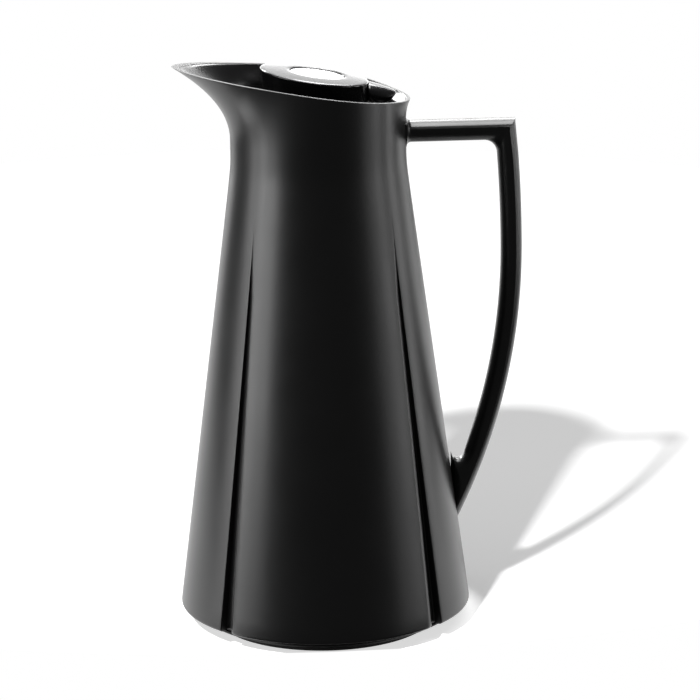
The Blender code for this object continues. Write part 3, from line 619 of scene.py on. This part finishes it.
def make_lid():
    """The glossy lid: a conical skirt under a sloping disc with a rounded edge."""
    rings = [flat_ring(CAP_SKIRT_RADIUS, CAP_SEAT_Z)]
    for step in range(5):
        turn = pi * step / 8 - pi / 4
        radius = CAP_RADIUS - 0.8 * MM * (1 - cos(turn))
        rings.append(tilted_ring(radius, 0.3 * MM + 0.7 * MM * sin(turn), CAP_CENTRE_X))
    outside = CAP_RADIUS - 0.9 * MM
    inside = BUTTON_HOLE_RADIUS + 0.5 * MM
    for step in range(9):
        share = step / 8
        radius = outside + (inside - outside) * share
        lift = 1.0 * MM + (CAP_DOME - 1.0 * MM) * sin(pi / 2 * share)
        rings.append(tilted_ring(radius, lift, CAP_CENTRE_X * (1 - share)))
    rings += [
        tilted_ring(BUTTON_HOLE_RADIUS + 0.15 * MM, CAP_DOME - 0.12 * MM),
        tilted_ring(BUTTON_HOLE_RADIUS, CAP_DOME - 0.4 * MM),
        tilted_ring(BUTTON_HOLE_RADIUS, -BUTTON_HOLE_DEPTH),
        tilted_ring(CAP_COLLAR_RADIUS, -BUTTON_HOLE_DEPTH),
        tilted_ring(CAP_COLLAR_RADIUS, -0.8 * MM),
        tilted_ring(23.4 * MM, -2.2 * MM, CAP_CENTRE_X),
        flat_ring(CAP_SKIRT_RADIUS - 2.3 * MM, CAP_SEAT_Z),
    ]
    return lofted("lid", rings, closed=True)


def make_tab():
    """The lifting tab behind the lid."""
    rings = []
    for x, half, top, bottom, roundness in TAB_STATIONS:
        middle = (top + bottom) / 2 * MM
        rise = (top - bottom) / 2 * MM
        ring = []
        for angle in around(40):
            wide = copysign(abs(cos(angle)) ** TAB_SQUARENESS, cos(angle))
            tall = copysign(abs(sin(angle)) ** roundness, sin(angle))
            ring.append(Vector((x * MM, half * MM * wide, middle + rise * tall)))
        rings.append(ring)
    tab = lofted("lid_tab", rings)
    smooth = tab.modifiers.new("Soften", "SUBSURF")
    smooth.levels = 2
    smooth.render_levels = 2
    return tab


def make_button():
    """The round steel face of the button, shallowly dished, on the lid's slope."""
    lift = CAP_DOME - BUTTON_SINK
    rings = [tilted_ring(PINHOLE, lift - BUTTON_DISH)]
    for step in range(1, 9):
        share = step / 8
        dip = BUTTON_DISH * (1 - share**2)
        rings.append(tilted_ring(BUTTON_FACE_RADIUS * share, lift - dip))
    for step in range(1, 5):
        turn = pi / 2 * step / 4
        radius = BUTTON_FACE_RADIUS + BUTTON_EDGE * sin(turn)
        rings.append(tilted_ring(radius, lift - BUTTON_EDGE * (1 - cos(turn))))
    rings += [
        tilted_ring(BUTTON_RADIUS, lift - 1.6 * MM),
        tilted_ring(12.2 * MM, lift - 1.6 * MM),
        tilted_ring(12.0 * MM, lift - 1.1 * MM),
        tilted_ring(PINHOLE, lift - 1.1 * MM),
    ]
    return lofted("button_face", rings)


def make_spring():
    """The coil around the stem, which is squeezed while the button goes down."""
    length = SPRING_TOP_Z - SPRING_FOOT_Z
    steps = 24 * SPRING_TURNS
    rings = []
    for step in range(steps + 1):
        share = step / steps
        angle = 2 * pi * SPRING_TURNS * share
        height = SPRING_FOOT_Z + length * share
        ring = []
        for turn in around(10):
            reach = SPRING_RADIUS + SPRING_WIRE * cos(turn)
            ring.append(polar(reach, angle, height + SPRING_WIRE * sin(turn)))
        rings.append(ring)
    return lofted("coil_spring", rings)


# Base ----------------------------------------------------------------------------------------


def make_base():
    """The conical underside, recessed inside the shell's lower edge."""
    return turned("base_underside", [
        (BASE_BORE - 0.3 * MM, 24 * MM),
        (BASE_BORE - 0.3 * MM, 8.7 * MM),
        (68.0 * MM, 8.7 * MM),
        (66.5 * MM, 7.0 * MM),
        (62.0 * MM, 4.4 * MM),
        (56.5 * MM, 2.9 * MM),
        (54.8 * MM, 2.3 * MM),
        (12 * MM, 2.3 * MM),
        (12 * MM, 5.0 * MM),
        (28.7 * MM, 5.0 * MM),
        (28.7 * MM, 15 * MM),
        (31 * MM, 15 * MM),
        (31 * MM, 5.0 * MM),
        (56 * MM, 5.4 * MM),
        (61.5 * MM, 8.0 * MM),
        (62.8 * MM, 11 * MM),
        (62.8 * MM, 24 * MM),
    ], 0.6 * MM)


def make_pad():
    """The flat pad that the jug stands on."""
    outline = [(PINHOLE, 2.0 * MM), (54.5 * MM, 2.0 * MM), (54.5 * MM, 0), (PINHOLE, 0)]
    return turned("rubber_pad", outline, 0.5 * MM)


# Finishes --------------------------------------------------------------------------------------


def finish(name, colour, roughness, metallic=0.0, coat=0.0, specular=0.5, grain=2500.0, bump=0.1,
           smudge=0.06, stretch=(1, 1, 1), rings=0.0):
    """A surface with fine grain, and smudges that vary its roughness and colour a little."""
    material = bpy.data.materials.new(name)
    material.use_nodes = True
    tree = material.node_tree
    shader = tree.nodes["Principled BSDF"]
    shader.inputs["Metallic"].default_value = metallic
    shader.inputs["Coat Weight"].default_value = coat
    shader.inputs["Coat Roughness"].default_value = 0.05
    shader.inputs["Specular IOR Level"].default_value = specular
    place = tree.nodes.new("ShaderNodeTexCoord")
    squeeze = tree.nodes.new("ShaderNodeMapping")
    squeeze.inputs["Scale"].default_value = stretch
    tree.links.new(place.outputs["Object"], squeeze.inputs["Vector"])
    wide = tree.nodes.new("ShaderNodeTexNoise")
    wide.inputs["Scale"].default_value = 35.0
    wide.inputs["Detail"].default_value = 4.0
    tree.links.new(place.outputs["Object"], wide.inputs["Vector"])
    fine = tree.nodes.new("ShaderNodeTexNoise")
    fine.inputs["Scale"].default_value = grain
    fine.inputs["Detail"].default_value = 2.0
    tree.links.new(squeeze.outputs["Vector"], fine.inputs["Vector"])
    rough = tree.nodes.new("ShaderNodeMapRange")
    rough.inputs["From Min"].default_value = 0.3
    rough.inputs["From Max"].default_value = 0.7
    rough.inputs["To Min"].default_value = roughness * (1 - smudge)
    rough.inputs["To Max"].default_value = roughness * (1 + smudge)
    tree.links.new(wide.outputs["Fac"], rough.inputs["Value"])
    tree.links.new(rough.outputs["Result"], shader.inputs["Roughness"])
    tint = tree.nodes.new("ShaderNodeMix")
    tint.data_type = "RGBA"
    tint.inputs["A"].default_value = (*colour, 1.0)
    tint.inputs["B"].default_value = (*(c * 1.15 for c in colour), 1.0)
    tree.links.new(wide.outputs["Fac"], tint.inputs["Factor"])
    tree.links.new(tint.outputs["Result"], shader.inputs["Base Color"])
    height = fine.outputs["Fac"]
    if rings:
        wave = tree.nodes.new("ShaderNodeTexWave")
        wave.wave_type = "RINGS"
        wave.rings_direction = "Z"
        wave.inputs["Scale"].default_value = rings
        wave.inputs["Distortion"].default_value = 1.5
        wave.inputs["Detail"].default_value = 3.0
        tree.links.new(place.outputs["Object"], wave.inputs["Vector"])
        height = wave.outputs["Fac"]
    relief = tree.nodes.new("ShaderNodeBump")
    relief.inputs["Strength"].default_value = bump
    relief.inputs["Distance"].default_value = 0.05 * MM
    tree.links.new(height, relief.inputs["Height"])
    tree.links.new(relief.outputs["Normal"], shader.inputs["Normal"])
    return material


def dress(obj, material, body=None, replaces=()):
    """Gives a piece its finish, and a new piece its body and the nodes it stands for."""
    obj.data.materials.clear()
    obj.data.materials.append(material)
    if body:
        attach(obj, body)
        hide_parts(*replaces)


SATIN = finish("satin black", (0.0030, 0.0030, 0.0031), 0.33, bump=0.12)
SATIN_HANDLE = finish("satin black moulding", (0.0030, 0.0030, 0.0031), 0.31, bump=0.1)
GLOSS = finish("gloss black", (0.0030, 0.0030, 0.0032), 0.26, bump=0.02, grain=400.0)
GLOSS_LID = finish("gloss black lid", (0.0030, 0.0030, 0.0032), 0.17, bump=0.01, grain=400.0)
STEEL = finish("brushed steel face", (0.60, 0.60, 0.61), 0.30, metallic=1.0, bump=0.08,
               rings=1600.0)
PLAIN_STEEL = finish("plain steel", (0.56, 0.56, 0.57), 0.28, metallic=1.0, bump=0.05,
                     stretch=(1, 1, 12))
MATT = finish("matt black base", (0.004, 0.004, 0.004), 0.55, specular=0.03, bump=0.3, grain=1800.0)
PAD = finish("black rubber", (0.006, 0.006, 0.006), 0.8, specular=0.2, bump=0.4, grain=900.0)
NATURAL = finish("natural plastic", (0.16, 0.157, 0.148), 0.45, specular=0.3, bump=0.08)
SILICONE = finish("silicone", (0.11, 0.108, 0.10), 0.5, specular=0.3, bump=0.05)
MIRRORED = finish("silvered glass", (0.82, 0.83, 0.84), 0.06, metallic=0.95, coat=1.0, bump=0.01,
                  grain=120.0)
FELT = finish("pressed fibre", (0.5, 0.48, 0.42), 0.95, bump=0.9, grain=1500.0)


def build_jug():
    """The pieces that show, each on the body that carries it."""
    dress(make_shell(), SATIN, "jug", ["outer_shell"])
    dress(make_handle(), SATIN_HANDLE, "jug", ["handle"])
    dress(make_collar(), GLOSS, "jug", ["pouring_collar"])
    dress(make_base(), MATT, "jug", ["base_cap"])
    dress(make_pad(), PAD, "jug", ["foot_pad"])
    dress(make_lid(), GLOSS_LID, "stopper", ["stopper_cap"])
    dress(make_tab(), GLOSS, "stopper", ["stopper_cap"])
    dress(make_button(), STEEL, "valve_plunger", ["push_button"])
    spring = make_spring()
    dress(spring, PLAIN_STEEL, "stopper", ["return_spring"])
    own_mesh(spring)


def dress_cad_nodes():
    """The pieces that hardly show keep their CAD shape and get a finish."""
    finishes = {
        "screw": PLAIN_STEEL,
        "valve_metal": PLAIN_STEEL,
        "stopper_housing": NATURAL,
        "seal": SILICONE,
        "liner_glass": MIRRORED,
        "spacer": FELT,
        "base": MATT,
    }
    slots = {part["node"]: part["material_slot"] for part in frame["record"]["subparts"]}
    for name, node in frame["nodes"].items():
        if not node.hide_render:
            dress(node, finishes[slots[name]])


# Floor, lights and camera -----------------------------------------------------------------------


def make_floor():
    """A pale disc that glows softly and evenly, like a light table, with painted light in a ring
    under the jug. It reaches further back than forward.
    """
    mesh = bpy.data.meshes.new("floor")
    centre = Vector((0, FLOOR_BACK, 0))
    corners = [centre + polar(FLOOR_RADIUS, angle, 0) for angle in around(96)]
    mesh.from_pydata(corners, [], [tuple(range(96))])
    floor = bpy.data.objects.new("floor", mesh)
    bpy.context.scene.collection.objects.link(floor)
    material = bpy.data.materials.new("pale floor")
    material.use_nodes = True
    shader = material.node_tree.nodes["Principled BSDF"]
    shader.inputs["Base Color"].default_value = (0.80, 0.80, 0.80, 1.0)
    shader.inputs["Roughness"].default_value = 0.9
    shader.inputs["Specular IOR Level"].default_value = 0.0
    shader.inputs["Emission Color"].default_value = (1.0, 1.0, 1.0, 1.0)
    tree = material.node_tree
    place = tree.nodes.new("ShaderNodeTexCoord")
    reach = tree.nodes.new("ShaderNodeVectorMath")
    reach.operation = "LENGTH"
    tree.links.new(place.outputs["Object"], reach.inputs[0])
    # painted light: the floor's emission is brighter in a ring under the jug and fades out past the
    # base's edge
    glow = tree.nodes.new("ShaderNodeMapRange")
    glow.interpolation_type = "SMOOTHSTEP"
    glow.inputs["From Min"].default_value = BASE_RADIUS
    glow.inputs["From Max"].default_value = BASE_RADIUS + PAINTED_GLOW_FADE
    glow.inputs["To Min"].default_value = FLOOR_GLOW + PAINTED_GLOW_UNDER_JUG
    glow.inputs["To Max"].default_value = FLOOR_GLOW
    tree.links.new(reach.outputs["Value"], glow.inputs["Value"])
    tree.links.new(glow.outputs["Result"], shader.inputs["Emission Strength"])
    mesh.materials.append(material)
    return floor


def add_light(name, azimuth, elevation, distance, width, height, power):
    """A soft panel aimed at the jug. Azimuth 0 is in front, 90 on the spout's side."""
    turn = radians(azimuth)
    rise = radians(elevation)
    away = Vector((-sin(turn) * cos(rise), -cos(turn) * cos(rise), sin(rise)))
    light = bpy.data.lights.new(name, "AREA")
    light.shape = "RECTANGLE"
    light.size = width
    light.size_y = height
    light.energy = power
    lamp = bpy.data.objects.new(name, light)
    lamp.location = Vector(LAMP_AIM) + away * distance
    lamp.rotation_euler = (-away).to_track_quat("-Z", "Y").to_euler()
    lamp.visible_camera = False
    bpy.context.scene.collection.objects.link(lamp)
    return lamp


def light_only(lamp, name, floor, state):
    """Links a lamp to the floor alone, or to everything but the floor."""
    receivers = bpy.data.collections.new(name)
    receivers.objects.link(floor)
    receivers.collection_objects[0].light_linking.link_state = state
    lamp.light_linking.receiver_collection = receivers


def make_lights(floor):
    """A white backdrop, a dim even ambient, and the lamps."""
    world = bpy.data.worlds.new("studio")
    world.use_nodes = True
    tree = world.node_tree
    ambient = tree.nodes["Background"]
    ambient.inputs["Color"].default_value = (1.0, 1.0, 1.0, 1.0)
    ambient.inputs["Strength"].default_value = AMBIENT
    backdrop = tree.nodes.new("ShaderNodeBackground")
    backdrop.inputs["Color"].default_value = (1.0, 1.0, 1.0, 1.0)
    path = tree.nodes.new("ShaderNodeLightPath")
    choose = tree.nodes.new("ShaderNodeMixShader")
    tree.links.new(path.outputs["Is Camera Ray"], choose.inputs["Fac"])
    tree.links.new(ambient.outputs["Background"], choose.inputs[1])
    tree.links.new(backdrop.outputs["Background"], choose.inputs[2])
    tree.links.new(choose.outputs["Shader"], tree.nodes["World Output"].inputs["Surface"])
    bpy.context.scene.world = world
    bpy.context.scene.view_settings.view_transform = "Standard"
    for panel in PANELS:
        light_only(add_light(*panel), panel[0] + " receivers", floor, "EXCLUDE")
    for lamp in (SHADOW_KEY, FLOOR_SKY):
        light_only(add_light(*lamp), lamp[0] + " receivers", floor, "INCLUDE")


def make_camera():
    """A long lens, in front of the jug and above it."""
    place = Vector(CAMERA_PLACE)
    data = bpy.data.cameras.new("camera")
    data.sensor_width = 36.0
    data.lens = CAMERA_LENS
    data.clip_start = 0.1
    data.clip_end = 50.0
    camera = bpy.data.objects.new("camera", data)
    turn = (Vector(CAMERA_AIM) - place).to_track_quat("-Z", "Y").to_matrix()
    turn = turn @ Matrix.Rotation(CAMERA_ROLL, 3, "Z")
    camera.matrix_world = Matrix.Translation(place) @ turn.to_4x4()
    bpy.context.scene.collection.objects.link(camera)
    bpy.context.scene.camera = camera


build_jug()
dress_cad_nodes()
make_lights(make_floor())
make_camera()
